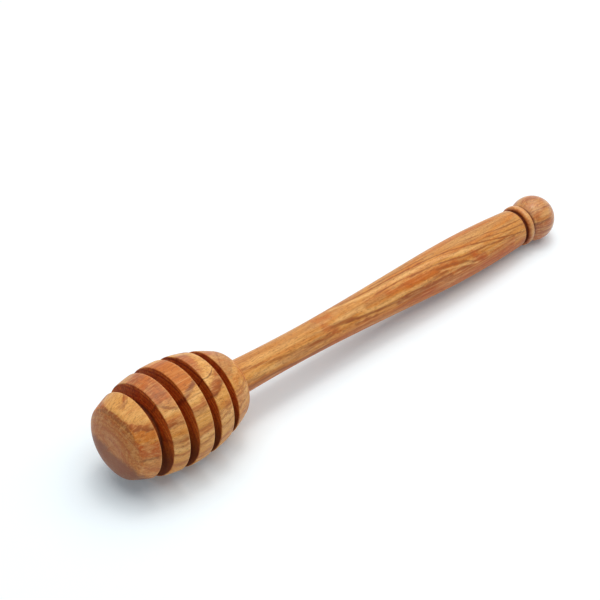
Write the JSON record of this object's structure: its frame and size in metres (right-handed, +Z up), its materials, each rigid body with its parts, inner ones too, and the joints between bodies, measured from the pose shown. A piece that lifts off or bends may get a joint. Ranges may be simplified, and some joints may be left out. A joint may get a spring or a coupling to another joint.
{
  "type": "honey dipper",
  "caption": "Wooden honey dipper with a grooved egg-shaped head glued onto a slender swelling handle that ends in a bead and a ball knob.",
  "frame": {"origin": "centre of the lying dipper's bounding box at the bottom, on the table", "axes": "+X from the head's tip towards the knob, +Y across the dipper, +Z up; the dipper's own axis lies in the XZ plane and falls about 3 degrees towards the knob"},
  "size_m": [0.15, 0.025, 0.0251],
  "materials": {
    "head_wood": "oiled olive wood with broad dark and pale bands, low gloss",
    "handle_wood": "oiled olive wood with fine long grain lines and reddish flames, low gloss",
    "glue": "cured pale amber wood glue"
  },
  "bodies": {
    "root": {"honey_head": "head_wood", "handle": "handle_wood", "glue_film": "glue"}
  },
  "joints": []
}
